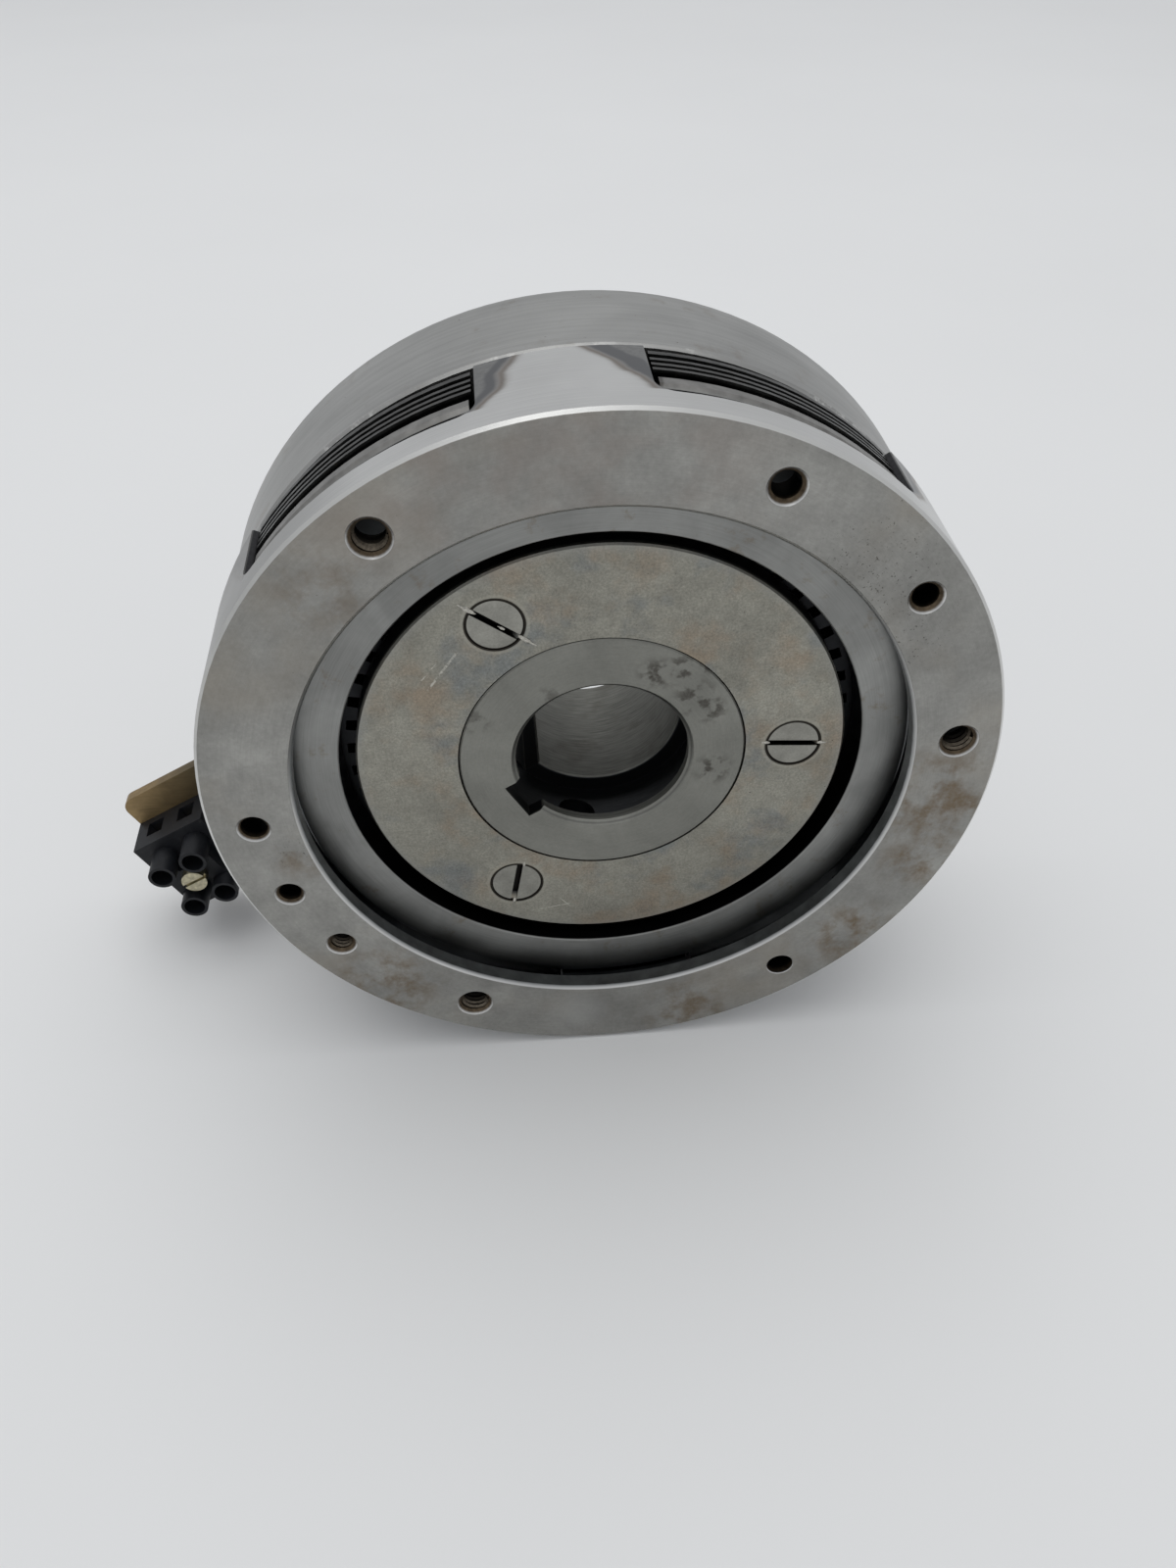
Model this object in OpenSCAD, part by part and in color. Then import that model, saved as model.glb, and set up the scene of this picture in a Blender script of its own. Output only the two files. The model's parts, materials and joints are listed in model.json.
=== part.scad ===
// Electromagnetic multi-plate clutch, slip-ring-less type, with its outer driver.
// Frame: origin on the shaft axis in the plane of the front flange face.
// The axis runs along Y. The front flange faces -Y, +X is to the right seen from the front, +Z is up.
// Every piece is drawn "seen from the front" (x right, y up, z towards the viewer) and turned by place().
// Threads are drawn as plain bores at the core diameter.

/* [Driver] */
// Outside diameter of the outer driver
driver_d = 170; // [150:1:200]
// Bore of the driver flange
flange_bore_d = 131.4; // [120:0.2:140]
// Thickness of the flange in front of the windows
flange_t = 7.2; // [6:0.1:14]
// Thickness of the thin lip at the flange bore
lip_t = 4; // [2:0.5:8]
// Distance from the flange face to the finger ends
finger_end = 27; // [20:0.5:34]
// Number of fingers, and of windows between them
finger_n = 6; // [3:1:8]
// Width of one finger
finger_w = 31.8; // [20:0.2:40]
// Direction of the first finger, seen from the front
finger_a = 35; // [0:1:59]
// Inside diameter across the fingers
finger_id = 148; // [140:1:156]
// Corner radius at the root of a finger
root_r = 4; // [1:0.5:6]
// Pitch circle of the flange holes
hole_pcd = 151.2; // [140:0.2:160]

/* [Plates] */
// Outside diameter across the lugs of the outer plates
lug_d = 167.4; // [160:0.2:169]
// Outside diameter of the plate bodies between the lugs
body_d = 146.6; // [140:0.2:147]
// Bore of the armature plate and the outer plates
plate_bore_d = 113.2; // [110:0.2:120]
// Outside diameter of the inner plates
inner_plate_d = 146; // [140:0.2:147]
// Thickness of an outer plate
outer_t = 1; // [0.8:0.1:2]
// Thickness of the rearmost outer plate
outer_first_t = 1.4; // [0.8:0.1:2]
// Thickness of an inner plate
inner_t = 1; // [0.8:0.1:2]
// Number of spline teeth
tooth_n = 54; // [40:1:70]

/* [Armature] */
// Distance from the flange face to the front of the raised ring
ring_front = 7.6; // [6:0.2:10]
// Outside diameter of the raised ring
ring_d = 134; // [128:0.5:138]
// Distance from the flange face to the front of the tongues
tongue_front = 12.7; // [11:0.1:14]
// Distance from the flange face to the rear face of the plate
armature_back = 16.3; // [15:0.1:18]

/* [Hub] */
// Shaft bore
bore_d = 38; // [30:0.5:42]
// Keyway width
key_w = 10; // [6:1:14]
// Distance from the bore centre to the keyway floor
key_floor = 22.3; // [20:0.1:26]
// Direction of the keyway, seen from the front
key_a = 211; // [0:1:359]
// Radius of the relief turned inside the bore, behind its front land
hub_relief_r = 23; // [20:0.1:24]
// Diameter of the radial hole in the wall of that relief
radial_hole_d = 8.6; // [5:0.1:10]
// Distance from the flange face to the hub face
hub_front = 9.2; // [8:0.1:12]
// Distance from the flange face to the rear end of the hub
hub_back = 61; // [58:0.5:66]
// Diameter of the hub collar inside the end plate
collar_d = 62.4; // [56:0.2:68]
// Distance from the flange face to the pole face
pole_front = 28.9; // [28:0.1:31]

/* [End plate] */
// Outside diameter of the end plate
end_plate_d = 106.4; // [100:0.2:110]
// Distance from the flange face to the front of the end plate
end_plate_front = 9.3; // [8:0.1:12]
// Distance from the flange face to the rear of the end plate
end_plate_back = 16.2; // [14:0.1:18]
// Pitch circle of the three countersunk screws
end_screw_pcd = 84; // [70:1:95]
// Direction of the first countersunk screw
end_screw_a = 1.4; // [0:0.1:119]
// Head diameter of the countersunk screws
end_screw_head_d = 11.6; // [10:0.2:14]

/* [Magnet body] */
// Outside diameter of the magnet body
magnet_d = 166.6; // [160:0.2:170]
// Distance from the flange face to the front edge of the magnet body
magnet_front = 31.5; // [30:0.5:34]
// Distance from the flange face to the rear face of the magnet body
magnet_back = 60; // [56:0.5:64]

/* [Bearing] */
// Bearing bore
bearing_id = 55; // [50:1:60]
// Bearing outside diameter
bearing_od = 80; // [75:1:90]
// Bearing width
bearing_w = 13; // [9:1:18]
// Number of balls
ball_n = 14; // [10:1:18]
// Ball diameter
ball_d = 7.2; // [6:0.2:9]

/* [Terminal bracket] */
// Direction of the bracket, seen from the front
bracket_a = 208.4; // [180:0.1:240]
// Distance from the axis to the outer end of the bracket
bracket_end = 132.5; // [120:0.5:140]
// Sheet thickness of the bracket
bracket_t = 3; // [2:0.5:5]
// Distance from the axis to the middle of the terminal block
block_u = 121.5; // [110:0.5:130]
// Sideways offset of the terminal block
block_w = 5; // [-5:0.5:10]
// Height of the terminal block towers above the bracket
block_h = 19; // [14:0.5:26]

/* [Hidden] */
$fn = 144;
driver_r = driver_d / 2;
lip_r = flange_bore_d / 2;
relief_r = 70.5;
finger_ir = finger_id / 2;
fillet_steps = 10;
lug_r = lug_d / 2;
body_r = body_d / 2;
plate_bore_r = plate_bore_d / 2;
bore_r = bore_d / 2;
collar_r = collar_d / 2;
end_plate_r = end_plate_d / 2;
magnet_r = magnet_d / 2;
hole_r = hole_pcd / 2;
finger_pitch = 360 / finger_n;
// Spline: plate teeth reach in to 50, plate tooth spaces reach out to 55.6, hub teeth reach out to 53.2
hub_tip_r = 53.2;
hub_root_r = 49.4;
plate_tip_r = 49.9;
plate_root_r = 55.6;
tooth_pitch = 360 / tooth_n;
// Middle of each outer plate behind the flange face, rearmost first
outer_pos = [26.9, 24.1, 21.8, 19.7];
// Middle of each inner plate behind the flange face, rearmost first
inner_pos = [28.25, 25.4, 22.95, 20.75, 18];
// Inner pole, brass ring and outer pole of the rotor
inner_pole_r = 60;
outer_pole_ir = 63;
outer_pole_r = 75.4;
pole_back = 35.4;
outer_pole_back = 36.5;
// Magnet body walls around the coil
shell_ir = 76;
core_r = 51;
core_ir = 37.5;
core_front = 36;
coil_floor = 52;
bearing_front = 44.6;
bearing_back = bearing_front + bearing_w;
bearing_mid = bearing_front + bearing_w / 2;
ball_pcr = (bearing_id + bearing_od) / 4;
race_in_r = 31.5;
race_out_r = 36;
end_screw_r = end_screw_pcd / 2;
// Terminal block: two rows of two towers
tower_du = 10;
tower_dw = 13;
tower_d = 7;
tower_hole_d = 5.4;
block_lu = 22;
block_lw = 25;
block_base_h = 11;

steel = [0.55, 0.55, 0.53];
ground = [0.62, 0.62, 0.6];
dark_steel = [0.4, 0.4, 0.4];
brass_c = [0.75, 0.62, 0.3];
copper_c = [0.7, 0.4, 0.2];
plastic_c = [0.12, 0.12, 0.13];

// Turns a piece drawn seen from the front into the part frame
module place() rotate([90, 0, 0]) children();

// Turned piece from a list of [radius, depth behind the flange face]
module turned(p) rotate_extrude() polygon([for (q = p) [q[0], -q[1]]]);

// Plain ring between two depths
module ring(r_out, r_in, front, back) {
  translate([0, 0, -back])
    difference() {
      cylinder(h = back - front, r = r_out);
      translate([0, 0, -1])
        cylinder(h = back - front + 2, r = r_in);
    }
}

// Copies a feature to a radius and an angle seen from the front
module at(r, a) rotate([0, 0, a]) translate([r, 0, 0]) children();

// Drilled hole from the front with a chamfered mouth
module drilled(d, mouth_d, front, depth) {
  c = (mouth_d - d) / 2;
  translate([0, 0, -front - depth])
    cylinder(h = depth + 1, d = d, $fn = 48);
  translate([0, 0, -front - c])
    cylinder(h = c + 0.01, d1 = d, d2 = mouth_d + 0.02, $fn = 48);
}

// ---- outer driver --------------------------------------------------------

// Outline across one finger: straight flanks that flare into root fillets
function finger_outline(half) = concat(
  [[-half, -finger_end - 2], [half, -finger_end - 2]],
  [for (i = [0 : fillet_steps])
    let (a = 180 - i * 92 / fillet_steps)
    [half + root_r + root_r * cos(a), -flange_t - root_r + root_r * sin(a)]],
  [[half + root_r + 1, -flange_t + 1], [-half - root_r - 1, -flange_t + 1]],
  [for (i = [0 : fillet_steps])
    let (a = 88 + i * 92 / fillet_steps)
    [-half - root_r + root_r * cos(180 - a), -flange_t - root_r + root_r * sin(a)]]
);

// One finger with its root fillets, lying along +X
module finger_block() {
  translate([60, 0, 0])
    rotate([90, 0, 90])
      linear_extrude(35)
        polygon(finger_outline(finger_w / 2));
}

// Flange ring with six fingers reaching back between the plate lugs
module cage() {
  color(ground) place()
    difference() {
      turned([[lip_r, 0.8], [lip_r + 0.8, 0], [driver_r - 0.7, 0], [driver_r, 0.7],
              [driver_r, finger_end - 0.4], [driver_r - 0.4, finger_end], [finger_ir, finger_end],
              [finger_ir, flange_t + 0.6], [relief_r, flange_t + 0.6], [relief_r, lip_t], [lip_r, lip_t]]);
      difference() {
        ring(driver_r + 2, 68, flange_t, finger_end + 1);
        for (k = [0 : finger_n - 1])
          rotate([0, 0, finger_a + k * finger_pitch])
            finger_block();
      }
      // three tapped M8 holes
      for (a = [5, 125, 245])
        at(hole_r, a) drilled(6.8, 8.9, 0, flange_t + 1);
      // three dowel holes
      at(hole_r, 65) drilled(5.8, 8, 0, flange_t + 1);
      at(hole_r, 185) drilled(5.8, 7.4, 0, flange_t + 1);
      at(hole_r, 305) drilled(6.4, 6.8, 0, flange_t + 1);
      // two blind holes at finger roots and one short hole
      at(hole_r, 35) drilled(5.5, 7.7, 0, 7);
      at(hole_r, 215.6) drilled(5, 7.3, 0, 7);
      at(hole_r, 200.7) drilled(5, 6.9, 0, 6.2);
    }
}

// ---- plates --------------------------------------------------------------

// Slots for the fingers around the edge of a lugged plate
module finger_slots(clear) {
  half = finger_w / 2 + clear;
  for (k = [0 : finger_n - 1])
    rotate([0, 0, finger_a + k * finger_pitch])
      difference() {
        translate([62, -half])
          square([30, 2 * half]);
        circle(r = body_r);
      }
}

// Six curved flux windows between the pole rings
module flux_windows(front, back) {
  for (k = [0 : 5])
    rotate([0, 0, k * 60 + 10])
      translate([0, 0, -back - 1])
        rotate_extrude(angle = 46)
          translate([60.2, 0])
            square([2.6, back - front + 2]);
}

// Thin steel plate with lugs standing in the driver windows
module outer_plate(pos, t) {
  color(dark_steel) place()
    difference() {
      translate([0, 0, -pos - t / 2])
        linear_extrude(t)
          difference() {
            circle(r = lug_r);
            circle(r = plate_bore_r);
            finger_slots(0.8);
          }
      flux_windows(pos - t / 2, pos + t / 2);
    }
}

// Closed outline of straight-sided teeth: tip half width wt at radius rt, root half width wr at rr
function tooth_outline(rt, wt, rr, wr) = [
  for (i = [0 : tooth_n - 1])
    for (j = [0 : 3])
      let (a = i * tooth_pitch + (j == 0 ? -wr : j == 1 ? -wt : j == 2 ? wt : wr))
      let (r = (j == 0 || j == 3) ? rr : rt)
      [r * cos(a), r * sin(a)]
];

// Thin plate with inward teeth riding on the hub spline
module inner_plate(pos) {
  color(steel) place()
    difference() {
      translate([0, 0, -pos - inner_t / 2])
        linear_extrude(inner_t)
          difference() {
            circle(d = inner_plate_d);
            polygon(tooth_outline(plate_root_r, 1.35, plate_tip_r, 1.9));
          }
      flux_windows(pos - inner_t / 2, pos + inner_t / 2);
    }
}

module outer_plate_1() outer_plate(outer_pos[0], outer_first_t);
module outer_plate_2() outer_plate(outer_pos[1], outer_t);
module outer_plate_3() outer_plate(outer_pos[2], outer_t);
module outer_plate_4() outer_plate(outer_pos[3], outer_t);
module inner_plate_1() inner_plate(inner_pos[0]);
module inner_plate_2() inner_plate(inner_pos[1]);
module inner_plate_3() inner_plate(inner_pos[2]);
module inner_plate_4() inner_plate(inner_pos[3]);
module inner_plate_5() inner_plate(inner_pos[4]);

// Thick armature plate: raised ring behind the flange bore, tongues in the driver windows
module armature_plate() {
  color(ground) place()
    difference() {
      turned([[plate_bore_r, ring_front + 0.3], [plate_bore_r + 0.3, ring_front],
              [ring_d / 2 - 0.5, ring_front], [ring_d / 2, ring_front + 0.5],
              [ring_d / 2, tongue_front], [lug_r - 0.9, tongue_front], [lug_r, tongue_front + 0.9],
              [lug_r, armature_back - 0.4], [lug_r - 0.4, armature_back],
              [plate_bore_r, armature_back]]);
      translate([0, 0, -armature_back - 1])
        linear_extrude(armature_back + 1)
          finger_slots(1.3);
    }
}

// ---- hub and end plate ---------------------------------------------------

// Hub: keyed bore, splined ring for the inner plates, inner pole, bearing seat at the rear
module hub() {
  color(steel) place()
    difference() {
      union() {
        turned([[bore_r, hub_front + 1], [bore_r + 1, hub_front], [collar_r - 0.3, hub_front],
                [collar_r, hub_front + 0.3], [collar_r, 16.4], [hub_root_r, 16.4],
                [hub_root_r, pole_front], [inner_pole_r, pole_front], [inner_pole_r, pole_back],
                [33, pole_back], [33, 43], [31, 43], [31, bearing_front - 0.05],
                [bearing_id / 2 - 0.02, bearing_front - 0.05], [bearing_id / 2 - 0.02, 57.62],
                [26, 57.62], [26, 59.6], [bearing_id / 2 - 0.02, 59.6], [bearing_id / 2 - 0.02, hub_back - 1],
                [bearing_id / 2 - 1.02, hub_back], [bore_r + 1, hub_back], [bore_r, hub_back - 1],
                [bore_r, 25.6], [bore_r + 0.4, 25.2], [hub_relief_r, 25.2], [hub_relief_r, 12.6],
                [bore_r + 0.4, 12.6], [bore_r, 12.2]]);
        translate([0, 0, -pole_front])
          linear_extrude(pole_front - 16.4)
            difference() {
              polygon(tooth_outline(hub_tip_r, 1.25, hub_root_r, 1.6));
              circle(r = hub_root_r - 3);
            }
      }
      // keyway right through the bore
      rotate([0, 0, key_a])
        translate([bore_r - 4, -key_w / 2, -hub_back - 1])
          cube([key_floor - bore_r + 4, key_w, hub_back + 2]);
      // tapped holes for the end plate screws
      for (k = [0 : 2])
        at(end_screw_r, end_screw_a + 120 * k)
          translate([0, 0, -27])
            cylinder(h = 12, d = 5, $fn = 36);
      // radial hole in the wall of the relief
      rotate([0, 0, 256.7])
        translate([bore_r - 2, 0, -12.75 - radial_hole_d / 2])
          rotate([0, 90, 0])
            cylinder(h = 10, d = radial_hole_d, $fn = 48);
    }
}

// Cover disc on the front of the hub
module end_plate() {
  color(steel) place()
    difference() {
      turned([[collar_r + 0.3, end_plate_front], [end_plate_r - 0.4, end_plate_front],
              [end_plate_r, end_plate_front + 0.4], [end_plate_r, end_plate_back],
              [collar_r + 0.3, end_plate_back]]);
      for (k = [0 : 2])
        at(end_screw_r, end_screw_a + 120 * k) {
          translate([0, 0, -end_plate_back - 1])
            cylinder(h = 9, d = 6.5, $fn = 36);
          translate([0, 0, -end_plate_front - 3.05])
            cylinder(h = 2.6, d1 = 6.6, d2 = end_screw_head_d + 0.24, $fn = 48);
          translate([0, 0, -end_plate_front - 0.45])
            cylinder(h = 1, d = end_screw_head_d + 0.24, $fn = 48);
        }
    }
}

// One slotted countersunk screw, head up at z = 0
module slotted_csk(slot_a) {
  difference() {
    union() {
      cylinder_cone();
      translate([0, 0, -16])
        cylinder(h = 14, d = 4.9, $fn = 36);
    }
    rotate([0, 0, slot_a])
      translate([-8, -0.7, -1.5])
        cube([16, 1.4, 3]);
  }
}

// Countersunk head with a short straight edge
module cylinder_cone() {
  translate([0, 0, -0.25])
    cylinder(h = 0.25, d = end_screw_head_d, $fn = 48);
  translate([0, 0, -2.85])
    cylinder(h = 2.6, d1 = 6, d2 = end_screw_head_d - 0.1, $fn = 48);
}

// Three slotted countersunk screws holding the end plate to the hub
module end_plate_screws() {
  slot_dirs = [-4, -35, 80];
  color(steel) place()
    for (k = [0 : 2])
      at(end_screw_r, end_screw_a + 120 * k)
        translate([0, 0, -end_plate_front - 0.15])
          slotted_csk(slot_dirs[k] - end_screw_a - 120 * k);
}

// ---- rotor poles ---------------------------------------------------------

module pole_spacer() color(brass_c) place() ring(outer_pole_ir, inner_pole_r, pole_front, pole_back);

module outer_pole() {
  color(steel) place()
    turned([[outer_pole_ir, pole_front], [outer_pole_r - 0.5, pole_front], [outer_pole_r, pole_front + 0.5],
            [outer_pole_r, outer_pole_back], [outer_pole_ir, outer_pole_back]]);
}

// ---- bearing and its circlips --------------------------------------------

// Circlip: flat ring with an opening and two eyelets beside it
module circlip(r_in, r_out, front, back, eye_r) {
  difference() {
    union() {
      ring(r_out, r_in, front, back);
      for (s = [-1, 1])
        rotate([0, 0, 90 + s * 9])
          translate([eye_r, 0, -back])
            cylinder(h = back - front, r = 2.6, $fn = 36);
    }
    translate([-1.6, 0, -back - 1])
      cube([3.2, 60, back - front + 2]);
    for (s = [-1, 1])
      rotate([0, 0, 90 + s * 9])
        translate([eye_r, 0, -back - 1])
          cylinder(h = back - front + 2, r = 1.1, $fn = 24);
  }
}

module hub_circlip() color(dark_steel) place() circlip(26.05, 29.8, 57.68, 59.5, 29.6);

module housing_circlip() color(dark_steel) place() circlip(37.4, 41.9, 57.68, 59.4, 37.6);

module bearing_inner_race() {
  color(ground) place()
    difference() {
      ring(race_in_r, bearing_id / 2, bearing_front, bearing_back);
      raceway();
    }
}

module bearing_outer_race() {
  color(ground) place()
    difference() {
      ring(bearing_od / 2, race_out_r, bearing_front, bearing_back);
      raceway();
    }
}

// Ball groove cut in both races
module raceway() {
  translate([0, 0, -bearing_mid])
    rotate_extrude()
      translate([ball_pcr, 0])
        circle(d = ball_d + 0.1, $fn = 72);
}

module bearing_balls() {
  color(ground) place()
    for (k = [0 : ball_n - 1])
      at(ball_pcr, k * 360 / ball_n)
        translate([0, 0, -bearing_mid])
          sphere(d = ball_d, $fn = 48);
}

module bearing_cage() {
  color(brass_c) place()
    difference() {
      ring(35.1, 32.4, bearing_mid - 4.4, bearing_mid + 4.4);
      for (k = [0 : ball_n - 1])
        at(30, k * 360 / ball_n)
          translate([0, 0, -bearing_mid])
            rotate([0, 90, 0])
              cylinder(h = 8, d = ball_d + 0.3, $fn = 48);
    }
}

module bearing_shields() {
  color(steel) place() {
    ring(race_out_r, race_in_r + 0.2, bearing_front + 0.4, bearing_front + 0.8);
    ring(race_out_r, race_in_r + 0.2, bearing_back - 0.8, bearing_back - 0.4);
  }
}

// ---- magnet body and coil ------------------------------------------------

// Stationary magnet body: outer shell, core with the bearing seat, back wall
module magnet_body() {
  color(steel) place()
    difference() {
      turned([[shell_ir, magnet_front], [magnet_r - 0.6, magnet_front], [magnet_r, magnet_front + 0.6],
              [magnet_r, magnet_back - 1], [magnet_r - 1, magnet_back], [bearing_od / 2, magnet_back],
              [bearing_od / 2, 59.45], [42, 59.45], [42, 57.62], [bearing_od / 2, 57.62],
              [bearing_od / 2, bearing_front - 0.05], [core_ir, bearing_front - 0.05],
              [core_ir, core_front], [core_r, core_front], [core_r, coil_floor], [shell_ir, coil_floor]]);
      // tapped holes for the bracket screws
      for (s = [-1, 1])
        rotate([0, 0, bracket_a])
          translate([65, s * 10, -magnet_back - 1])
            cylinder(h = 9, d = 4.2, $fn = 36);
      // passage for the coil ends behind the bracket
      rotate([0, 0, bracket_a])
        translate([58, 0, -magnet_back - 1])
          cylinder(h = magnet_back - coil_floor + 2, d = 6, $fn = 36);
    }
}

module coil_bobbin() {
  color(plastic_c) place()
    turned([[core_r + 0.1, 38.5], [shell_ir - 0.1, 38.5], [shell_ir - 0.1, 39.6], [52.4, 39.6],
            [52.4, 50.7], [shell_ir - 0.1, 50.7], [shell_ir - 0.1, 51.9], [core_r + 0.1, 51.9]]);
}

module coil_winding() {
  color(copper_c) place()
    ring(75, 52.4, 39.6, 50.7);
}

module coil_potting() {
  color(plastic_c) place()
    ring(shell_ir, core_r, 37.4, 38.5);
}

// ---- bracket and terminal block ------------------------------------------

// Flat bracket with rounded outer corners, along +X before turning
module bracket() {
  r = 3.5;
  low = -15.7;
  high = 20;
  color(brass_c) place()
    rotate([0, 0, bracket_a])
      translate([0, 0, -magnet_back - bracket_t])
        difference() {
          union() {
            translate([52, low, 0])
              cube([bracket_end - r - 52, high - low, bracket_t]);
            translate([bracket_end - r - 1, low + r, 0])
              cube([r + 1, high - low - 2 * r, bracket_t]);
            for (y = [low + r, high - r])
              translate([bracket_end - r, y, 0])
                cylinder(h = bracket_t, r = r, $fn = 48);
          }
          for (s = [-1, 1])
            translate([65, s * 10, -1])
              cylinder(h = bracket_t + 2, d = 5.3, $fn = 36);
          translate([58, 0, -1])
            cylinder(h = bracket_t + 2, d = 6, $fn = 36);
          translate([block_u, block_w, -1])
            cylinder(h = bracket_t + 2, d = 3.4, $fn = 36);
        }
}

// Two cheese-head screws fixing the bracket to the rear face
module bracket_screws() {
  color(steel) place()
    rotate([0, 0, bracket_a])
      for (s = [-1, 1])
        translate([65, s * 10, -magnet_back - bracket_t])
          difference() {
            union() {
              translate([0, 0, -3.3])
                cylinder(h = 3.3, d = 8.5, $fn = 48);
              translate([0, 0, -0.1])
                cylinder(h = 9.5, d = 4.1, $fn = 36);
            }
            translate([-6, -0.6, -3.4])
              cube([12, 1.2, 1.5]);
          }
}

// Moves a feature to the middle of the terminal block on the front of the bracket
module on_block() {
  place()
    rotate([0, 0, bracket_a])
      translate([block_u, block_w, -magnet_back])
        children();
}

// Two-pole block: base, four screw towers, wire entries on both sides
module terminal_block() {
  color(plastic_c) on_block()
    difference() {
      union() {
        translate([-block_lu / 2, -block_lw / 2, 0])
          cube([block_lu, block_lw, block_base_h]);
        for (i = [-1, 1])
          for (j = [-1, 1])
            translate([i * tower_du / 2, j * tower_dw / 2, 0])
              cylinder(h = block_h, d = tower_d, $fn = 48);
        for (i = [-1, 1])
          translate([i * tower_du / 2 - 2.2, -tower_dw / 2, 0])
            cube([4.4, tower_dw, block_h - 4]);
        // boss between the webs, for the fixing screw
        translate([-3, -3.2, 0])
          cube([6, 6.4, block_h - 4]);
      }
      // screw passages
      for (i = [-1, 1])
        for (j = [-1, 1])
          translate([i * tower_du / 2, j * tower_dw / 2, 6])
            cylinder(h = block_h, d = tower_hole_d, $fn = 36);
      // tunnels for the clamps, open on both sides
      for (i = [-1, 1])
        translate([i * tower_du / 2 - 2.5, -block_lw / 2 - 1, 2.2])
          cube([5, block_lw + 2, 5]);
      // fixing hole
      translate([0, 0, -1])
        cylinder(h = block_h + 2, d = 3.4, $fn = 36);
    }
}

// One brass clamp per pole, inside the tunnels
module terminal_clamps() {
  color(brass_c) on_block()
    for (i = [-1, 1])
      difference() {
        translate([i * tower_du / 2 - 2.3, -9.5, 2.4])
          cube([4.6, 19, 4.6]);
        translate([i * tower_du / 2, -12, 4.2])
          rotate([-90, 0, 0])
            cylinder(h = 24, d = 2.8, $fn = 36);
        for (j = [-1, 1])
          translate([i * tower_du / 2, j * tower_dw / 2, 4])
            cylinder(h = 4, d = 3.1, $fn = 36);
      }
}

// Four clamp screws down in the towers
module terminal_screws() {
  color(steel) on_block()
    for (i = [-1, 1])
      for (j = [-1, 1])
        translate([i * tower_du / 2, j * tower_dw / 2, 0])
          difference() {
            union() {
              translate([0, 0, 5.2])
                cylinder(h = 5, d = 3, $fn = 36);
              translate([0, 0, 9.6])
                cylinder(h = 2.2, d = 3.9, $fn = 36);
            }
            translate([-3, -0.35, 11])
              cube([6, 0.7, 2]);
          }
}

// Screw and nut holding the terminal block to the bracket
module block_screw() {
  color(brass_c) on_block()
    difference() {
      union() {
        translate([0, 0, -bracket_t - 4.5])
          cylinder(h = bracket_t + 5 + block_h - 4, d = 3, $fn = 36);
        translate([0, 0, block_h - 4])
          cylinder(h = 2.8, d = 6.6, $fn = 36);
        translate([0, 0, -bracket_t - 2.4])
          cylinder(h = 2.4, d = 6.2, $fn = 6);
      }
      translate([-4, -0.4, block_h - 2.4])
        cube([8, 0.8, 3]);
    }
}

cage();
armature_plate();
outer_plate_1();
outer_plate_2();
outer_plate_3();
outer_plate_4();
inner_plate_1();
inner_plate_2();
inner_plate_3();
inner_plate_4();
inner_plate_5();
hub();
end_plate();
end_plate_screws();
pole_spacer();
outer_pole();
hub_circlip();
bearing_inner_race();
bearing_balls();
bearing_cage();
bearing_outer_race();
bearing_shields();
magnet_body();
coil_bobbin();
coil_winding();
coil_potting();
housing_circlip();
bracket();
bracket_screws();
terminal_block();
terminal_clamps();
terminal_screws();
block_screw();
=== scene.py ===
import json
import math

import bmesh
import bpy
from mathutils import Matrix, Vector


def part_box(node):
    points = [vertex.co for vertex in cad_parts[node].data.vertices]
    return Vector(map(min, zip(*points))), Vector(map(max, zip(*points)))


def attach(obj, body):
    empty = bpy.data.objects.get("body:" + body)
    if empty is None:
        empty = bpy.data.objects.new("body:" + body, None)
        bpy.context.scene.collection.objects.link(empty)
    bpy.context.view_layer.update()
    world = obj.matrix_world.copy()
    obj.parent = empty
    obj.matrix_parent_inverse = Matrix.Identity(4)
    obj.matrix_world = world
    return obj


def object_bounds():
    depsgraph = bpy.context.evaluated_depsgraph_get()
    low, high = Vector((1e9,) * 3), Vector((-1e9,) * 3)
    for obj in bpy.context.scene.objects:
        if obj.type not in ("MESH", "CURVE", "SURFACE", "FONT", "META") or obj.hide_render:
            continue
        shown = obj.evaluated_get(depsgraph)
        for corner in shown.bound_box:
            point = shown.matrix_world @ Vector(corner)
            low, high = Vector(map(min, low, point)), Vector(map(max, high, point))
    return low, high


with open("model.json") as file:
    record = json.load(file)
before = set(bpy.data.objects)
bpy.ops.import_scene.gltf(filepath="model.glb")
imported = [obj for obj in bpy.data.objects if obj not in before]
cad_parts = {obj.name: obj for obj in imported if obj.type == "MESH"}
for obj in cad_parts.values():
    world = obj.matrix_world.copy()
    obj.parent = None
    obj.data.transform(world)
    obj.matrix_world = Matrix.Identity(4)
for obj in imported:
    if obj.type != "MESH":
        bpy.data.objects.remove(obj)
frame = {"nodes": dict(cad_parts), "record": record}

MM = 0.001
CAD_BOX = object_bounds()
NODES = frame["nodes"]

# ---------------------------------------------------------------- sizes read off the frame
PLATE_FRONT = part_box("end_plate")[0].y
HUB_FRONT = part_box("hub")[0].y
MAGNET_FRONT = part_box("magnet_body")[0].y
MAGNET_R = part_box("magnet_body")[1].z
FLOOR_Z = CAD_BOX[0].z


def polar(radius_mm, degrees):
    """X and Z of a point on the face, in metres."""
    a = math.radians(degrees)
    return radius_mm * MM * math.cos(a), radius_mm * MM * math.sin(a)


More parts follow.
